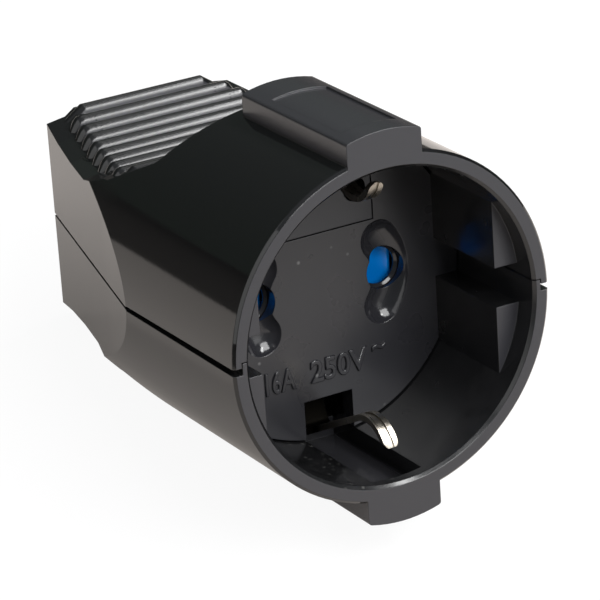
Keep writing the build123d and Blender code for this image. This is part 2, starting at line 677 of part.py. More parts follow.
def cord_clamp_bar():
    """Arched bar over the cord, on the two bosses."""
    half = CLAMP_WIDTH / 2
    span = CLAMP_X + CLAMP_BOSS_R
    bar = block((-span, span), (CLAMP_Y - half, CLAMP_Y + half), (0, CLAMP_HEIGHT))
    bar -= along_y(Circle(CLAMP_ARCH_R), 0, LENGTH)
    for hand in (1, -1):
        place = Pos(hand * CLAMP_X, CLAMP_Y)
        bar -= along_z(place * Circle(SCREW_R + SCREW_CLEARANCE), 0, CLAMP_HEIGHT)
    return bar


def pieces():
    """Every piece by name, in the upright frame."""
    made = {
        "upper_shell": upper_shell(),
        "lower_shell": lower_shell(),
        "floor_plate": floor_plate(),
        "shutter_slider": shutter_slider(),
        "shutter_spring": shutter_spring(),
        "contact_base": contact_base(),
        "line_contact": contact(PIN_X),
        "neutral_contact": contact(-PIN_X),
        "earth_bow": earth_bow(),
        "earth_terminal": earth_terminal(),
        "cord_clamp_bar": cord_clamp_bar(),
    }
    short = terminal_screw(TERMINAL_SCREW_LENGTH)
    for name, x in (("line", PIN_X), ("neutral", -PIN_X)):
        made[f"{name}_terminal_screw"] = Pos(x, TERMINAL_SCREW_Y, TERMINAL_HALF_WIDTH) * short
    made["earth_terminal_screw"] = Pos(0, EARTH_SCREW_Y, TAIL_Z + STRIP_THICKNESS) * short
    housing = screw(SCREW_R, HOUSING_SCREW_LENGTH, SCREW_HEAD_R, SCREW_HEAD_HEIGHT)
    clamp = screw(SCREW_R, CLAMP_SCREW_LENGTH, SCREW_HEAD_R, SCREW_HEAD_HEIGHT)
    base = terminal_screw(BASE_SCREW_LENGTH)
    for name, hand in (("left", -1), ("right", 1)):
        made[f"base_screw_{name}"] = Pos(hand * POST_X, BASE_BACK, -hand * POST_Z) * Rot(-90, 0, 0) * base
        made[f"clamp_screw_{name}"] = Pos(hand * CLAMP_X, CLAMP_Y, CLAMP_HEIGHT) * clamp
        seat = Pos(hand * PILLAR_X, PILLAR_Y, housing_seat())
        made[f"housing_screw_{name}"] = seat * Rot(180, 0, 0) * housing
    return made


def tip_angle():
    """How far the socket leans back on a table: the line under the lower pad's rear edge and the last rib."""
    rib_depth = scoop_z(RIB_LAST_Y) + RIB_HEIGHT - RIB_R
    along = RIB_LAST_Y - PAD_LENGTH
    down = PAD_Z + PAD_CROWN - rib_depth
    return degrees(atan2(down, along) - asin(RIB_R / hypot(along, down)))


def main():
    os.makedirs("parts", exist_ok=True)
    tip = Rot(-tip_angle(), 0, 0)
    for name, piece in pieces().items():
        export_step(tip * piece, f"parts/{name}.step")
    print(f"tipped back {tip_angle():.2f} degrees, shutter travel {SHUTTER_TRAVEL:.2f} mm")


main()
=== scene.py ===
# %% [markdown]
# # A trailing mains socket in black plastic
# This lesson dresses a finished CAD model. The solids of the socket are loaded as a fixed frame, and every
# step adds what a camera sees on the real thing: the skin of the mouldings, the shine of the sprung metal,
# the raised rating on the floor of the well, the noses of the finger ribs, and the light of a small photo
# table. All lengths are in metres.

# %% Load the frame
import json
import math

import bmesh
import bpy
from mathutils import Euler, Matrix, Vector


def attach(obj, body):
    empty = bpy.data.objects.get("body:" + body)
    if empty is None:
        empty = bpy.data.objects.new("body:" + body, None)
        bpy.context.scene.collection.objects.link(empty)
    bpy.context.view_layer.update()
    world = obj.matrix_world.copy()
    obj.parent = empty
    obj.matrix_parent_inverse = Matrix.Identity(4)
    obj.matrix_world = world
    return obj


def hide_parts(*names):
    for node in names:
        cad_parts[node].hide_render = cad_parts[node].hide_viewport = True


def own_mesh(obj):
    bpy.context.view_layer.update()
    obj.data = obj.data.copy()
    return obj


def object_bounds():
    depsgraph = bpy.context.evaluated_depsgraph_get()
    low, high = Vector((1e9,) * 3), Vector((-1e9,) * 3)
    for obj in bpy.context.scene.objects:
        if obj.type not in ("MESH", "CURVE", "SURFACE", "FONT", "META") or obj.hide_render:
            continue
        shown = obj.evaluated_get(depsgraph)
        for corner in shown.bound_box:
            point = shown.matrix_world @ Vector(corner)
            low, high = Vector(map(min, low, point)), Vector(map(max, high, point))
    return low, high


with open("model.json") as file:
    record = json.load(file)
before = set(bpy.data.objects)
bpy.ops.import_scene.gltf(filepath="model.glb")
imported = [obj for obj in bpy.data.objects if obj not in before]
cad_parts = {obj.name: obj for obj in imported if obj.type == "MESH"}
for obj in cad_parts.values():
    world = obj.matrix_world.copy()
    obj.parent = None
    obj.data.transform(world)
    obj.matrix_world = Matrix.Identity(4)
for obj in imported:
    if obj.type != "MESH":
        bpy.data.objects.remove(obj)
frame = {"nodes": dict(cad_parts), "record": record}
cad_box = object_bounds()
nodes = frame["nodes"]
print("loaded", len(nodes), "solids, box", [[round(v, 4) for v in corner] for corner in cad_box])

# %% [markdown]
# The socket is stored as it lies on a table, leaning back on its grip. Details on it are easier to place in
# its own frame, where Y runs into the well and Z is up across the seam. The lean could be typed in, but the
# record has it already: the axis of the pin holes points out of the mouth. One matrix then turns the
# socket's own frame into the table's frame.

# %% The lean of the socket
mouth_axis = next(m["axis"] for m in frame["record"]["mounts"] if m["name"] == "pin_hole_left")
lean = math.atan2(mouth_axis[2], -mouth_axis[1])
leaning = Matrix.Rotation(-lean, 4, "X")
print(f"leans back {math.degrees(lean):.2f} degrees")

# %% [markdown]
# A finish is a tree of small nodes. Two helpers keep the next cells short: one adds a node and sets its
# inputs, and one opens a node group, which is a piece of a tree with named sockets that many materials can
# share.


# %% Helpers for node groups
def add(tree, kind, **inputs):
    """Add a node; keyword names stand for its input sockets."""
    node = tree.nodes.new(kind)
    for name, value in inputs.items():
        node.inputs[name.replace("_", " ")].default_value = value
    return node


def fresh_group(name, inputs, outputs):
    """A shader node group with named sockets, and its input and output nodes."""
    group = bpy.data.node_groups.new(name, "ShaderNodeTree")
    for socket, kind, value in inputs:
        made = group.interface.new_socket(socket, in_out="INPUT", socket_type=kind)
        made.default_value = value
    for socket, kind in outputs:
        group.interface.new_socket(socket, in_out="OUTPUT", socket_type=kind)
    return group, add(group, "NodeGroupInput"), add(group, "NodeGroupOutput")


FLOAT, COLOUR, VECTOR = "NodeSocketFloat", "NodeSocketColor", "NodeSocketVector"
print("helpers ready")

# %% [markdown]
# Injection moulding leaves a skin that is never quite even: the polish of the steel mould varies in soft
# patches, and a very fine grain shows where light grazes it. A painted picture could show both, but noise
# needs no picture and no unwrapping. The group gives a roughness for the shader and a height for a Bump
# node, and every plastic here uses it with its own values.

# %% Node group: moulded skin
skin, skin_in, skin_out = fresh_group(
    "moulded_skin",
    [("Polish", FLOAT, 0.15), ("Patchiness", FLOAT, 0.05), ("Patch Scale", FLOAT, 90.0),
     ("Grain Scale", FLOAT, 2500.0)],
    [("Roughness", FLOAT), ("Height", FLOAT)],
)
place = add(skin, "ShaderNodeTexCoord")
patches = add(skin, "ShaderNodeTexNoise", Detail=3.0)
grain = add(skin, "ShaderNodeTexNoise", Detail=2.0)
spread = add(skin, "ShaderNodeMapRange", From_Min=0.2, From_Max=0.8)
spread.interpolation_type = "SMOOTHSTEP"
dullest = add(skin, "ShaderNodeMath")
skin.links.new(place.outputs["Object"], patches.inputs["Vector"])
skin.links.new(place.outputs["Object"], grain.inputs["Vector"])
skin.links.new(skin_in.outputs["Patch Scale"], patches.inputs["Scale"])
skin.links.new(skin_in.outputs["Grain Scale"], grain.inputs["Scale"])
skin.links.new(skin_in.outputs["Polish"], dullest.inputs[0])
skin.links.new(skin_in.outputs["Patchiness"], dullest.inputs[1])
skin.links.new(patches.outputs["Fac"], spread.inputs["Value"])
skin.links.new(skin_in.outputs["Polish"], spread.inputs["To Min"])
skin.links.new(dullest.outputs[0], spread.inputs["To Max"])
skin.links.new(spread.outputs["Result"], skin_out.inputs["Roughness"])
skin.links.new(grain.outputs["Fac"], skin_out.inputs["Height"])
print("group", skin.name, "with", len(skin.nodes), "nodes")

# %% [markdown]
# A used socket carries a little dust, most of it in the well. Scattered flakes would be thousands of tiny
# pieces, so a mask does it: Voronoi cells give one possible speck each, a random value per cell decides
# which cells have one, and the distance to the cell's centre gives the speck its round edge.

# %% Node group: dust specks
dust, dust_in, dust_out = fresh_group(
    "dust_specks",
    [("Scale", FLOAT, 900.0), ("Share", FLOAT, 0.12), ("Size", FLOAT, 0.28)],
    [("Mask", FLOAT)],
)
place = add(dust, "ShaderNodeTexCoord")
cells = add(dust, "ShaderNodeTexVoronoi")
pick = add(dust, "ShaderNodeMath")
pick.operation = "LESS_THAN"
near = add(dust, "ShaderNodeMapRange", To_Min=1.0, To_Max=0.0)
both = add(dust, "ShaderNodeMath")
both.operation = "MULTIPLY"
dust.links.new(place.outputs["Object"], cells.inputs["Vector"])
dust.links.new(dust_in.outputs["Scale"], cells.inputs["Scale"])
dust.links.new(cells.outputs["Color"], pick.inputs[0])
dust.links.new(dust_in.outputs["Share"], pick.inputs[1])
dust.links.new(cells.outputs["Distance"], near.inputs["Value"])
dust.links.new(dust_in.outputs["Size"], near.inputs["From Max"])
dust.links.new(pick.outputs[0], both.inputs[0])
dust.links.new(near.outputs["Result"], both.inputs[1])
dust.links.new(both.outputs[0], dust_out.inputs["Mask"])
print("group", dust.name, "with", len(dust.nodes), "nodes")

# %% [markdown]
# Wear and polish on a socket depend on where a surface is: deep in the well, on its wall, or facing the
# plug. Splitting the solids into more materials would tell those places apart, but three measures do it in
# any material: the depth behind the mouth, the distance from the well's axis, and how squarely the surface
# faces out of the mouth. They come from the object's own coordinates, so they stay with the part when it is
# turned.

# %% Node group: place on the socket
spot, spot_in, spot_out = fresh_group(
    "place_on_socket",
    [("Mouth Axis", VECTOR, mouth_axis)],
    [("Depth", FLOAT), ("Radius", FLOAT), ("Facing", FLOAT)],
)
place = add(spot, "ShaderNodeTexCoord")


def measure(operation, source):
    """A vector product of one of the object's coordinates with the axis."""
    node = add(spot, "ShaderNodeVectorMath")
    node.operation = operation
    spot.links.new(place.outputs[source], node.inputs[0])
    spot.links.new(spot_in.outputs["Mouth Axis"], node.inputs[1])
    return node.outputs["Vector" if operation == "CROSS_PRODUCT" else "Value"]


def scaled(tree, value, factor):
    """A value times a fixed factor."""
    node = add(tree, "ShaderNodeMath")
    node.operation = "MULTIPLY"
    node.inputs[1].default_value = factor
    tree.links.new(value, node.inputs[0])
    return node.outputs[0]


length = add(spot, "ShaderNodeVectorMath")
length.operation = "LENGTH"
spot.links.new(measure("CROSS_PRODUCT", "Object"), length.inputs[0])
spot.links.new(scaled(spot, measure("DOT_PRODUCT", "Object"), -1.0), spot_out.inputs["Depth"])
spot.links.new(length.outputs["Value"], spot_out.inputs["Radius"])
spot.links.new(measure("DOT_PRODUCT", "Normal"), spot_out.inputs["Facing"])
print("group", spot.name, "with", len(spot.nodes), "nodes")

# %% [markdown]
# All the plastics here are made alike: a moulded skin, some dust that lightens the colour, and edges that
# are eased by a tenth or two of a millimetre. The easing is too small to be worth modelling, so the Bevel
# node bends the normals near the edges, and the Bump node adds the skin's grain on top. Values that are the
# same all over a surface are set straight on the shader, because an exporter can only read them there.

# %% A plastic from the groups
BUMP_DEPTH = 0.00002
BEVEL_SAMPLES = 6


def fresh_material(name, **constants):
    """An empty material with a Principled shader, and the shader's constant values."""
    material = bpy.data.materials.new(name)
    material.use_nodes = True
    tree = material.node_tree
    tree.nodes.clear()
    shader = add(tree, "ShaderNodeBsdfPrincipled", **constants)
    output = add(tree, "ShaderNodeOutputMaterial")
    tree.links.new(shader.outputs["BSDF"], output.inputs["Surface"])
    return material, tree, shader


def place_group(tree, group, values):
    """Put a node group into a tree, with its own values."""
    node = tree.nodes.new("ShaderNodeGroup")
    node.node_tree = group
    for socket, value in values.items():
        node.inputs[socket].default_value = value
    return node


def moulded_plastic(name, colour, dusty, skin_values, dust_values, easing, grain, **constants):
    """A plastic; returns the material and the nodes that carry its colour and its roughness."""
    material, tree, shader = fresh_material(name, **constants)
    surface = place_group(tree, skin, skin_values)
    specks = place_group(tree, dust, dust_values)
    tint = add(tree, "ShaderNodeMix")
    tint.data_type = "RGBA"
    tint.inputs["A"].default_value = (*colour, 1.0)
    tint.inputs["B"].default_value = (*dusty, 1.0)
    edges = add(tree, "ShaderNodeBevel", Radius=easing)
    edges.samples = BEVEL_SAMPLES
    bump = add(tree, "ShaderNodeBump", Strength=grain, Distance=BUMP_DEPTH)
    tree.links.new(specks.outputs["Mask"], tint.inputs["Factor"])
    tree.links.new(tint.outputs["Result"], shader.inputs["Base Color"])
    tree.links.new(surface.outputs["Roughness"], shader.inputs["Roughness"])
    tree.links.new(surface.outputs["Height"], bump.inputs["Height"])
    tree.links.new(edges.outputs["Normal"], bump.inputs["Normal"])
    tree.links.new(bump.outputs["Normal"], shader.inputs["Normal"])
    return material, tint, surface


print("bump", BUMP_DEPTH * 1000, "mm deep at most")

# %% [markdown]
# Three plastics are needed. The shells came from a highly polished mould and are almost pure black. The
# floor of the well is a satin insert, a little paler and dustier. The shutter behind its holes is a strong
# blue, which shows that a hole is shut.

# %% The plastics
PLASTIC_IOR = 1.5
black_shell, shell_tint, shell_skin = moulded_plastic(
    "black_shell_plastic",
    colour=(0.0045, 0.0046, 0.0048),
    dusty=(0.10, 0.10, 0.10),
    skin_values={"Polish": 0.045, "Patchiness": 0.03, "Patch Scale": 70.0, "Grain Scale": 3000.0},
    dust_values={"Scale": 520.0, "Share": 0.06, "Size": 0.16},
    easing=0.00018,
    grain=0.12,
    IOR=PLASTIC_IOR,
)
black_insert, _, insert_skin = moulded_plastic(
    "black_insert_plastic",
    colour=(0.018, 0.018, 0.021),
    dusty=(0.16, 0.16, 0.16),
    skin_values={"Polish": 0.26, "Patchiness": 0.06, "Patch Scale": 160.0, "Grain Scale": 3600.0},
    dust_values={"Scale": 620.0, "Share": 0.16, "Size": 0.2},
    easing=0.00014,
    grain=0.3,
    IOR=PLASTIC_IOR,
)
blue_shutter, *_ = moulded_plastic(
    "blue_shutter_plastic",
    colour=(0.0, 0.29, 1.0),
    dusty=(0.05, 0.32, 0.94),
    skin_values={"Polish": 0.16, "Patchiness": 0.08, "Patch Scale": 240.0, "Grain Scale": 3000.0},
    dust_values={"Scale": 900.0, "Share": 0.05, "Size": 0.2},
    easing=0.0001,
    grain=0.1,
    IOR=PLASTIC_IOR,
)
print("plastics:", black_shell.name, black_insert.name, blue_shutter.name)

# %% [markdown]
# Some places differ from the rest of their moulding. To change a finish there, a mask from the place group
# leads a Mix node from the old colour or roughness to a new one. Four small helpers do that: one ramps a
# measure to a mask, one joins two masks, one puts a new value where the mask is, and one adds the place
# group.


# %% Helpers for masks
def step(tree, value, start, end):
    """A mask that goes from 0 to 1 as a value goes from start to end."""
    ramp = add(tree, "ShaderNodeMapRange", From_Min=start, From_Max=end)
    tree.links.new(value, ramp.inputs["Value"])
    return ramp.outputs["Result"]


def combine(tree, operation, first, second):
    """Two masks as one."""
    node = add(tree, "ShaderNodeMath")
    node.operation = operation
    tree.links.new(first, node.inputs[0])
    tree.links.new(second, node.inputs[1])
    return node.outputs[0]


def blend(tree, mask, before, after, target):
    """Lead a colour or a value to a socket: "before" where the mask is 0, "after" where it is 1."""
    mix = add(tree, "ShaderNodeMix")
    mix.data_type = "FLOAT" if isinstance(after, float) else "RGBA"
    mix.inputs["B"].default_value = after
    tree.links.new(mask, mix.inputs["Factor"])
    tree.links.new(before, mix.inputs["A"])
    tree.links.new(mix.outputs["Result"], target)
    return mix.outputs["Result"]


def where(material):
    """The material's tree and shader, with the place group added to it."""
    tree = material.node_tree
    shader = next(node for node in tree.nodes if node.type == "BSDF_PRINCIPLED")
    return tree, shader, place_group(tree, spot, {})


print("mask helpers ready")

# %% [markdown]
# The barrel is the glossiest place of the shells. The faces round the mouth are satin, the two pads and the
# grip lie between. The wall of the well is rubbed by plugs, in patches, and dust gathers low on its left.
# The first cell makes a mask for each of these places. A ramp that starts above its end marks what lies
# below it.

# %% Masks for the shells
BARREL_RADIUS = 0.0224
WELL_RADIUS = 0.0202
WELL_DEPTH = 0.0173
WALL_RAMP = (WELL_RADIUS + 0.0006, WELL_RADIUS + 0.0004)
FLOOR_RAMP = (WELL_DEPTH + 0.0006, WELL_DEPTH + 0.0003)
PAD_RAMP = (BARREL_RADIUS + 0.0001, BARREL_RADIUS + 0.0003)
FRONT_RAMP = (0.75, 0.9)
GRIP_RAMP = (0.033, 0.037)
LOW_RAMP = (-0.016, -0.021)
LEFT_RAMP = (0.004, -0.003)
tree, shader, here = where(black_shell)
place = add(tree, "ShaderNodeTexCoord")
rubbed = add(tree, "ShaderNodeTexNoise", Scale=340.0, Detail=3.0)
coordinates = add(tree, "ShaderNodeSeparateXYZ")
tree.links.new(place.outputs["Object"], rubbed.inputs["Vector"])
tree.links.new(place.outputs["Object"], coordinates.inputs[0])
inside = step(tree, here.outputs["Radius"], *WALL_RAMP)
in_well = combine(tree, "MULTIPLY", inside, step(tree, here.outputs["Depth"], *FLOOR_RAMP))
worn = combine(tree, "MULTIPLY", in_well, rubbed.outputs["Fac"])
pads = step(tree, here.outputs["Radius"], *PAD_RAMP)
front = step(tree, here.outputs["Facing"], *FRONT_RAMP)
grip = step(tree, here.outputs["Depth"], *GRIP_RAMP)
low_down = step(tree, coordinates.outputs["Z"], *LOW_RAMP)
corner = combine(tree, "MULTIPLY", low_down, step(tree, coordinates.outputs["X"], *LEFT_RAMP))
fluff = place_group(tree, dust, {"Scale": 1100.0, "Share": 0.5, "Size": 0.34})
gathered = combine(tree, "MULTIPLY", fluff.outputs["Mask"], combine(tree, "MULTIPLY", in_well, corner))
print("masks reach", round(WELL_DEPTH * 1000, 1), "mm into the well")

# %% [markdown]
# Now the finishes are laid over each other like coats of paint, the last one on top: first the rubbed wall,
# then the dust or the grip, then the pads, and the satin front last. On the insert it is the other way
# round: its flat face is satin, and the dished lead-ins and the holes are polished so that pins slide in.

# %% Dull and polished places
colour, polish = shell_tint.outputs["Result"], shell_skin.outputs["Roughness"]
for mask, tone in (
    (worn, (0.011, 0.011, 0.012, 1.0)),
    (gathered, (0.10, 0.10, 0.095, 1.0)),
    (pads, (0.024, 0.024, 0.027, 1.0)),
    (front, (0.023, 0.023, 0.027, 1.0)),
):
    colour = blend(tree, mask, colour, tone, shader.inputs["Base Color"])
for mask, dullness in ((worn, 0.36), (grip, 0.16), (pads, 0.19), (front, 0.40)):
    polish = blend(tree, mask, polish, dullness, shader.inputs["Roughness"])
SLANT_RAMP, SLANT_DULLNESS = (0.98, 0.9), 0.11
tree, shader, here = where(black_insert)
slanted = step(tree, here.outputs["Facing"], *SLANT_RAMP)
blend(tree, slanted, insert_skin.outputs["Roughness"], SLANT_DULLNESS, shader.inputs["Roughness"])
print("satin where the surface faces", [round(v, 3) for v in mouth_axis])

# %% [markdown]
# The metal is plated strip, turned brass and zinc-plated screws. Rolled strip has fine lines along its
# length, and handling leaves soft tarnish. Brushed metal can be had from an anisotropic shader, but a noise
# that is stretched along one axis shows the lines themselves. It is a group again, because three metals use
# it.

# %% Node group: drawn lines
drawn, drawn_in, drawn_out = fresh_group(
    "drawn_lines",
    [("Bright", COLOUR, (0.6, 0.6, 0.6, 1.0)), ("Tarnished", COLOUR, (0.4, 0.4, 0.4, 1.0)),
     ("Polish", FLOAT, 0.25), ("Spread", FLOAT, 0.15), ("Stretch", VECTOR, (1.0, 1.0, 1.0))],
    [("Colour", COLOUR), ("Roughness", FLOAT), ("Height", FLOAT)],
)
place = add(drawn, "ShaderNodeTexCoord")
along = add(drawn, "ShaderNodeMapping")
lines = add(drawn, "ShaderNodeTexNoise", Scale=900.0, Detail=4.0)
tarnish = add(drawn, "ShaderNodeTexNoise", Scale=260.0, Detail=3.0)
tint = add(drawn, "ShaderNodeMix")
tint.data_type = "RGBA"
dullest = add(drawn, "ShaderNodeMath")
shine = add(drawn, "ShaderNodeMapRange", From_Min=0.3, From_Max=0.7)
drawn.links.new(place.outputs["Object"], along.inputs["Vector"])
drawn.links.new(drawn_in.outputs["Stretch"], along.inputs["Scale"])
drawn.links.new(along.outputs["Vector"], lines.inputs["Vector"])
drawn.links.new(place.outputs["Object"], tarnish.inputs["Vector"])
drawn.links.new(tarnish.outputs["Fac"], tint.inputs["Factor"])
drawn.links.new(drawn_in.outputs["Bright"], tint.inputs["A"])
drawn.links.new(drawn_in.outputs["Tarnished"], tint.inputs["B"])
drawn.links.new(drawn_in.outputs["Polish"], dullest.inputs[0])
drawn.links.new(drawn_in.outputs["Spread"], dullest.inputs[1])
drawn.links.new(lines.outputs["Fac"], shine.inputs["Value"])
drawn.links.new(drawn_in.outputs["Polish"], shine.inputs["To Min"])
drawn.links.new(dullest.outputs[0], shine.inputs["To Max"])
drawn.links.new(tint.outputs["Result"], drawn_out.inputs["Colour"])
drawn.links.new(shine.outputs["Result"], drawn_out.inputs["Roughness"])
drawn.links.new(lines.outputs["Fac"], drawn_out.inputs["Height"])
print("group", drawn.name, "with", len(drawn.nodes), "nodes")

# %% [markdown]
# One function makes each metal from that group. Plugs wipe the earth strip bright in the well. Behind
# the floor plate the strip is painted almost black, which is painted shade over a little tarnish, and it is
# duller there; the depth from the place group blends the strip from one to the other. The contacts are plain
# brass, and the screws and the spring are zinc-plated steel.

# %% The metals
LINE_STRENGTH = 0.15


def drawn_metal(name, bright, tarnished, polish, spread, stretch):
    """A metal; returns the material and the group node that carries its colour and its roughness."""
    material, tree, shader = fresh_material(name, Metallic=1.0)
    surface = place_group(tree, drawn, {
        "Bright": (*bright, 1.0), "Tarnished": (*tarnished, 1.0),
        "Polish": polish, "Spread": spread, "Stretch": stretch,
    })
    bump = add(tree, "ShaderNodeBump", Strength=LINE_STRENGTH, Distance=BUMP_DEPTH)
    tree.links.new(surface.outputs["Colour"], shader.inputs["Base Color"])
    tree.links.new(surface.outputs["Roughness"], shader.inputs["Roughness"])
    tree.links.new(surface.outputs["Height"], bump.inputs["Height"])
    tree.links.new(bump.outputs["Normal"], shader.inputs["Normal"])
    return material, surface


nickel, strip = drawn_metal(
    "nickel_strip", (0.45, 0.42, 0.37), (0.33, 0.30, 0.25), polish=0.24, spread=0.12, stretch=(4.0, 0.3, 0.3)
)
brass, _ = drawn_metal(
    "plain_brass", (0.83, 0.62, 0.27), (0.60, 0.42, 0.18), polish=0.22, spread=0.18, stretch=(1.0, 4.0, 1.0)
)
zinc, _ = drawn_metal(
    "zinc_steel", (0.66, 0.67, 0.68), (0.48, 0.49, 0.50), polish=0.26, spread=0.16, stretch=(1.0, 1.0, 1.0)
)
# Painted shade: behind the floor plate the strip's colour goes almost black, over a little real tarnish.
SHADE_AND_TARNISH_RAMP = (0.0168, 0.0188)
PAINTED_SHADE_AND_TARNISH_COLOUR, TARNISH_DULLNESS = (0.003, 0.0027, 0.0022, 1.0), 0.55
tree, shader, here = where(nickel)
shade_and_tarnish = step(tree, here.outputs["Depth"], *SHADE_AND_TARNISH_RAMP)
blend(tree, shade_and_tarnish, strip.outputs["Colour"], PAINTED_SHADE_AND_TARNISH_COLOUR, shader.inputs["Base Color"])
blend(tree, shade_and_tarnish, strip.outputs["Roughness"], TARNISH_DULLNESS, shader.inputs["Roughness"])
print("metals:", nickel.name, brass.name, zinc.name)

# %% [markdown]
# The record already says which finish each solid has, by the name of a slot. A small table turns slot names
# into materials, and every solid gets its own. That is safer than a list of solids, which could miss one.

# %% Finishes onto the solids
finish_of_slot = {
    "black_shell": black_shell,
    "black_insert": black_insert,
    "blue_shutter": blue_shutter,
    "nickel": nickel,
    "brass": brass,
    "steel": zinc,
}
for part in frame["record"]["subparts"]:
    mesh = nodes[part["node"]].data
    mesh.materials.clear()
    mesh.materials.append(finish_of_slot[part["material_slot"]])

# %% [markdown]
# Raised on the floor of the well is the rating, as mains sockets have it: the current, the voltage and
# the sign for alternating current. It could be a bump in the material, but real letters catch the light at
# their edges. Text objects are set upright on the floor plate, given a small depth with a rounded edge, and
# turned into one mesh.

# %% The raised rating
LETTER_DEPTH, LETTER_EDGE = 0.00014, 0.00012
RATING = (
    # text, height, width of a letter as a share, left end, base line
    ("16A", 0.0041, 0.69, -0.0094, -0.0122),
    ("250V", 0.0041, 0.95, -0.0024, -0.0122),
    ("~", 0.0036, 0.95, 0.0067, -0.0108),
)


def raised_text(body, height, width, left, base):
    """A mesh of raised letters on the floor of the well, in the table's frame."""
    curve = bpy.data.curves.new(body, "FONT")
    curve.body = body
    curve.size = height
    curve.extrude = LETTER_DEPTH
    curve.bevel_depth = LETTER_EDGE
    curve.bevel_resolution = 2
    curve.resolution_u = 4
    text = bpy.data.objects.new(body, curve)
    mesh = bpy.data.meshes.new_from_object(text)
    upright = Matrix.Rotation(math.radians(90), 4, "X") @ Matrix.Diagonal((width, 1.0, 1.0, 1.0))
    mesh.transform(leaning @ Matrix.Translation((left, WELL_DEPTH, base)) @ upright)
    bpy.data.objects.remove(text)
    return mesh


def finished_piece(shape, name, finish):
    """Turn a bmesh into an object of the scene, in one finish."""
    mesh = bpy.data.meshes.new(name)
    shape.to_mesh(mesh)
    shape.free()
    mesh.materials.append(finish)
    piece = bpy.data.objects.new(name, mesh)
    bpy.context.scene.collection.objects.link(piece)
    return piece


letters = bmesh.new()
for row in RATING:
    letters.from_mesh(raised_text(*row))
rating = finished_piece(letters, "rating_lettering", black_insert)
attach(rating, "housing")
print("rating", [round(v * 1000, 2) for v in rating.dimensions], "mm")

# %% [markdown]
# The finger ribs of the grip run straight on to the bevelled edge and end there in round noses, as a
# ball-nosed cutter leaves them in the steel of the mould. The frame has the ribs with bent ends, so noses
# are laid over all but the last, and below not beside the screws. A nose could be a stretched ball, but a
# row of rings across the rib joins on to it without a step: the first rings are as high as the rib, and the
# last ones taper and sink into the bevel.

# %% Sizes of the ribs
SCOOP_Y, SCOOP_Z, SCOOP_RADIUS = 0.0470, 0.0125, 0.0900
GRIP_END, GRIP_HALF_WIDTH, GRIP_TAPER = 0.0632, 0.01365, 0.2417
RIB_LAST_Y, RIB_PITCH, RIB_COUNT = 0.06195, 0.0029, 10
RIB_RADIUS, RIB_HEIGHT = 0.00117, 0.00085
SCREW_Y, SCREW_WELL = 0.050, 0.0029
# A nose is measured inwards from the wall of the grip: where it starts, begins to sink, and ends.
NOSE_START, NOSE_ROUND, NOSE_END = 0.0058, 0.0039, 0.0020
# How far it has sunk at its end, the share of its width that it has lost there, and its flatter hidden half.
NOSE_DROP, NOSE_TAPER, NOSE_UNDER = 0.0025, 0.6, 0.3
NOSE_RINGS, NOSE_SIDES = 18, 16
print("noses", round((NOSE_START - NOSE_END) * 1000, 1), "mm long")


# %% Noses of the finger ribs
def join_rings(shape, rings):
    """Join rings of vertices to a smooth tube, and close its ends."""
    sides = len(rings[0])
    for before, after in zip(rings, rings[1:]):
        for side in range(sides):
            beside = (side + 1) % sides
            shape.faces.new((before[side], before[beside], after[beside], after[side])).smooth = True
    shape.faces.new(rings[0])
    shape.faces.new(reversed(rings[-1]))


def nose(shape, y, hand, up):
    """Add the nose of one rib end: hand is -1 or 1 for left or right, up is 1 on top and -1 below."""
    floor = SCOOP_Z + SCOOP_RADIUS - math.sqrt(SCOOP_RADIUS**2 - (y - SCOOP_Y) ** 2)
    wall = GRIP_HALF_WIDTH + GRIP_TAPER * (GRIP_END - y)
    rings = []
    for index in range(NOSE_RINGS + 1):
        inset = NOSE_START + (NOSE_END - NOSE_START) * math.sin(math.pi / 2 * index / NOSE_RINGS)
        past = max(NOSE_ROUND - inset, 0) / (NOSE_ROUND - NOSE_END)
        middle = floor + RIB_HEIGHT - RIB_RADIUS - NOSE_DROP * past**2
        wide = RIB_RADIUS * (1 - NOSE_TAPER * past**2)
        ring = []
        for side in range(NOSE_SIDES):
            angle = 2 * math.pi * side / NOSE_SIDES
            tall = RIB_RADIUS * (1.0 if math.sin(angle) > 0 else NOSE_UNDER)
            z = middle + tall * math.sin(angle)
            at = Vector((hand * (wall - inset), y + wide * math.cos(angle), up * z))
            ring.append(shape.verts.new(leaning @ at))
        rings.append(ring)
    join_rings(shape, rings)


noses = bmesh.new()
for index in range(1, RIB_COUNT):
    y = RIB_LAST_Y - index * RIB_PITCH
    at_screw = abs(y - SCREW_Y) < SCREW_WELL + RIB_RADIUS
    for hand in (-1, 1):
        nose(noses, y, hand, 1)
        if not at_screw:
            nose(noses, y, hand, -1)
bmesh.ops.recalc_face_normals(noses, faces=noses.faces)
rib_noses = finished_piece(noses, "rib_noses", black_shell)
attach(rib_noses, "housing")
print("rib noses:", len(rib_noses.data.polygons), "faces")

# %% [markdown]
# Behind the floor plate a small spring pushes the shutter shut. Such a spring is wound from round wire,
# with its end coils closed up so that it stands straight. A curve with a round bevel would do as well. Here
# rings of points are set along a helix and joined to a tube, which keeps the end coils exactly closed. The
# piece stands for the simpler coil of the frame.

# %% Sizes of the shutter spring
SPRING_FROM, SPRING_TO = -0.0068, 0.0034
SPRING_DEPTH = 0.0231
COIL_RADIUS, WIRE_RADIUS = 0.0013, 0.00022
TURNS, STEPS, SIDES = 7, 28, 10
spring_length = SPRING_TO - SPRING_FROM


def along_spring(turn):
    """How far along the spring a turn lies: the end turns are closed, and the others share the rest."""
    closed = 2 * WIRE_RADIUS
    open_pitch = (spring_length - 2 * WIRE_RADIUS - 2 * closed) / (TURNS - 2)
    into_open = min(max(turn - 1, 0), TURNS - 2)
    return SPRING_FROM + WIRE_RADIUS + closed * (turn - into_open) + open_pitch * into_open


print("spring", round(spring_length * 1000, 1), "mm long with", TURNS, "turns")

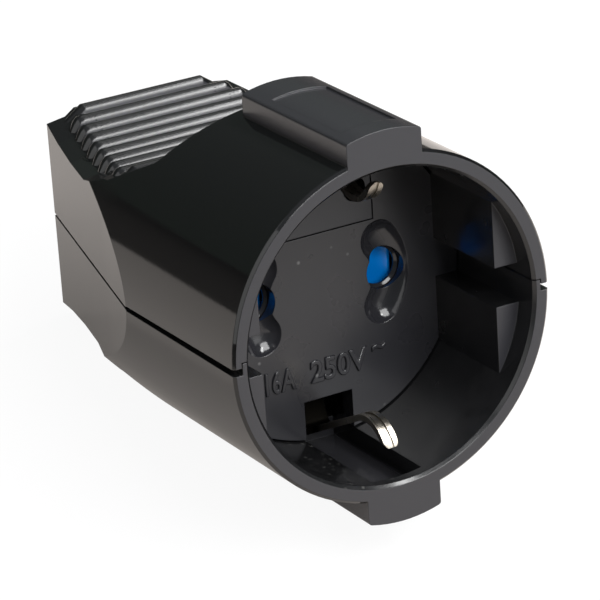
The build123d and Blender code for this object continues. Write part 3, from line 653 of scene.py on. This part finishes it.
# %% The shutter spring
coil = bmesh.new()
rings = []
for index in range(TURNS * STEPS + 1):
    angle = 2 * math.pi * index / STEPS
    outward = Vector((0.0, math.cos(angle), math.sin(angle)))
    middle = Vector((along_spring(index / STEPS), SPRING_DEPTH, 0.0)) + outward * COIL_RADIUS
    ring = []
    for side in range(SIDES):
        round_wire = 2 * math.pi * side / SIDES
        offset = outward * math.cos(round_wire) + Vector((1.0, 0.0, 0.0)) * math.sin(round_wire)
        ring.append(coil.verts.new(leaning @ (middle + offset * WIRE_RADIUS)))
    rings.append(ring)
join_rings(coil, rings)
bmesh.ops.recalc_face_normals(coil, faces=coil.faces)
spring = finished_piece(coil, "wound_spring", zinc)
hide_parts("shutter_spring")
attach(spring, "housing")
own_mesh(spring)
print("spring of", len(spring.data.polygons), "faces")

# %% [markdown]
# The floor is a plain pale table top. It could be a curved paper sweep, but a flat sheet is enough, because
# the camera sees the room behind it as white too. It lies at the lowest point of the socket.

# %% The table top
TABLE_REACH = 3.0
low, high = (Vector(corner) for corner in cad_box)
centre = (low + high) / 2
table_mesh = bpy.data.meshes.new("table_top")
table_mesh.from_pydata(
    [(centre.x + TABLE_REACH * x, centre.y + TABLE_REACH * y, low.z)
     for x, y in ((-1, -1), (1, -1), (1, 1), (-1, 1))],
    [], [(0, 1, 2, 3)],
)
table = bpy.data.objects.new("table_top", table_mesh)
bpy.context.scene.collection.objects.link(table)
print("table at", round(low.z * 1000, 2), "mm")

# %% [markdown]
# The table's colour holds a painted pool of light: it is pale near the socket and falls off to grey further
# away, as a table does outside the light of a softbox, which gives the glossy barrel a clear dark band above
# its pale one. A white background could come from more lamps, but they would bleach the socket. Light Path
# tells who looks instead: the camera sees the table almost fully white, a reflection sees it a little warm
# and partly glowing, which is painted light, and the matt share takes the shadow of the socket.

# %% The pale table, with a painted pool of light
FADE_FROM, FADE_TO = 0.232, 0.248
PAINTED_LIT_TONE, PAINTED_UNLIT_TONE = 0.63, 0.085
BRIGHT_SPOT = Vector((0.06, -0.08, 0.0))
WARM = (1.0, 0.92, 0.86)
WHITE = (1.0, 1.0, 1.0, 1.0)
SHARE_IN_MIRROR, SHARE_IN_CAMERA = 0.35, 0.92
table_material = bpy.data.materials.new("pale_table")
table_material.use_nodes = True
tree = table_material.node_tree
tree.nodes.clear()
place = add(tree, "ShaderNodeTexCoord")
away = add(tree, "ShaderNodeVectorMath")
away.operation = "DISTANCE"
away.inputs[1].default_value = centre + BRIGHT_SPOT
# Painted pool of light: the table's colour is pale near the socket and grey further off.
painted_light_pool = add(tree, "ShaderNodeMapRange", From_Min=FADE_FROM, From_Max=FADE_TO, To_Min=PAINTED_LIT_TONE, To_Max=PAINTED_UNLIT_TONE)
painted_light_pool.interpolation_type = "SMOOTHSTEP"
warm = add(tree, "ShaderNodeVectorMath")
warm.operation = "MULTIPLY"
warm.inputs[1].default_value = WARM
matt = add(tree, "ShaderNodeBsdfDiffuse")
glow = add(tree, "ShaderNodeEmission", Strength=1.0)
path = add(tree, "ShaderNodeLightPath")
seen = path.outputs["Is Camera Ray"]
either = add(tree, "ShaderNodeMixShader")
output = add(tree, "ShaderNodeOutputMaterial")
tree.links.new(place.outputs["Object"], away.inputs[0])
tree.links.new(away.outputs["Value"], painted_light_pool.inputs["Value"])
tree.links.new(painted_light_pool.outputs["Result"], warm.inputs[0])
paint = blend(tree, seen, warm.outputs["Vector"], WHITE, matt.inputs["Color"])
tree.links.new(paint, glow.inputs["Color"])
# In reflections a share of the table glows, which is painted light.
mirrored = combine(tree, "MAXIMUM", path.outputs["Is Glossy Ray"], path.outputs["Is Transmission Ray"])
mirror_share = scaled(tree, mirrored, SHARE_IN_MIRROR)
camera_share = scaled(tree, seen, SHARE_IN_CAMERA)
tree.links.new(combine(tree, "MAXIMUM", mirror_share, camera_share), either.inputs["Fac"])
tree.links.new(matt.outputs[0], either.inputs[1])
tree.links.new(glow.outputs[0], either.inputs[2])
tree.links.new(either.outputs[0], output.inputs["Surface"])
table_mesh.materials.append(table_material)
print("table is white up to", FADE_FROM, "m from its bright spot")

# %% [markdown]
# A softbox is a big flat lamp, which gives soft shadows and clear pale shapes on gloss. Five of them stand
# round the table, and all face the socket. The window high in front lights the well. The long strip
# overhead draws the bright lines on the crowns of the ribs. The fill low in front on the right gives the
# satin faces round the mouth their sheen. A weak panel behind lifts the top, and a large one on the left
# opens the shade on that side.

# %% Lamps
SOFTBOXES = (
    # name, place, size, watts
    ("front_window", (0.07, -0.37, 0.48), (0.36, 0.36), 3.7),
    ("overhead_strip", (0.315, -0.03, 0.55), (0.80, 0.10), 4.5),
    ("side_fill", (0.42, -0.62, 0.16), (0.5, 0.36), 1.15),
    ("right_panel", (0.31, 0.52, 0.42), (0.26, 0.5), 0.22),
    ("left_fill", (-0.55, 0.02, 0.30), (0.9, 0.7), 2.4),
)
for name, at, size, watts in SOFTBOXES:
    lamp = bpy.data.lights.new(name, "AREA")
    lamp.shape = "RECTANGLE"
    lamp.size, lamp.size_y = size
    lamp.energy = watts
    box = bpy.data.objects.new(name, lamp)
    bpy.context.scene.collection.objects.link(box)
    box.location = at
    box.rotation_euler = (centre - Vector(at)).to_track_quat("-Z", "Y").to_euler()

# %% [markdown]
# Gloss mirrors the whole room, so the room matters as much as the lamps. A photographed room would need a
# picture, and three colours on a ramp are enough: the room is dim and a little green round the horizon, and
# brighter overhead. The camera itself sees plain white paper instead.

# %% Room
ROOM_LEVEL = (0.08, 0.10, 0.085, 1.0)
ROOM_HALF_UP = (0.10, 0.11, 0.11, 1.0)
ROOM_TOP = (0.45, 0.47, 0.50, 1.0)
world = bpy.data.worlds.new("dim_room")
bpy.context.scene.world = world
world.use_nodes = True
tree = world.node_tree
tree.nodes.clear()
place = add(tree, "ShaderNodeTexCoord")
split = add(tree, "ShaderNodeSeparateXYZ")
ramp = add(tree, "ShaderNodeValToRGB")
ramp.color_ramp.elements[0].color = ROOM_LEVEL
ramp.color_ramp.elements[1].color = ROOM_TOP
ramp.color_ramp.elements.new(0.5).color = ROOM_HALF_UP
room = add(tree, "ShaderNodeBackground", Strength=1.0)
paper = add(tree, "ShaderNodeBackground", Color=WHITE, Strength=1.0)
path = add(tree, "ShaderNodeLightPath")
either = add(tree, "ShaderNodeMixShader")
output = add(tree, "ShaderNodeOutputWorld")
tree.links.new(place.outputs["Generated"], split.inputs[0])
tree.links.new(split.outputs["Z"], ramp.inputs["Fac"])
tree.links.new(ramp.outputs["Color"], room.inputs["Color"])
tree.links.new(path.outputs["Is Camera Ray"], either.inputs["Fac"])
tree.links.new(room.outputs[0], either.inputs[1])
tree.links.new(paper.outputs[0], either.inputs[2])
tree.links.new(either.outputs[0], output.inputs["Surface"])
print("room", world.name, "with", len(ramp.color_ramp.elements), "colours")

# %% [markdown]
# The camera stands as it did for the photo. Its place and turn were found in the socket's own frame,
# by matching known points of it, and the lean carries them to the table. A long lens keeps the barrel's two
# ends close in size.

# %% Camera
LENS, SENSOR = 228.3, 36.0
CAMERA_AT = (-0.21746, -0.36548, 0.17231)
CAMERA_TURN = (68.4210, 3.5802, -30.6616)
camera_data = bpy.data.cameras.new("camera")
camera_data.sensor_width = SENSOR
camera_data.lens = LENS
camera_data.clip_start = 0.01
camera = bpy.data.objects.new("camera", camera_data)
bpy.context.scene.collection.objects.link(camera)
turn = Euler([math.radians(angle) for angle in CAMERA_TURN]).to_matrix().to_4x4()
camera.matrix_world = leaning @ Matrix.Translation(CAMERA_AT) @ turn
bpy.context.scene.camera = camera
bpy.context.scene.view_settings.view_transform = "Standard"
print("camera", [round(v, 3) for v in camera.location])

# %% Update the scene
bpy.context.view_layer.update()
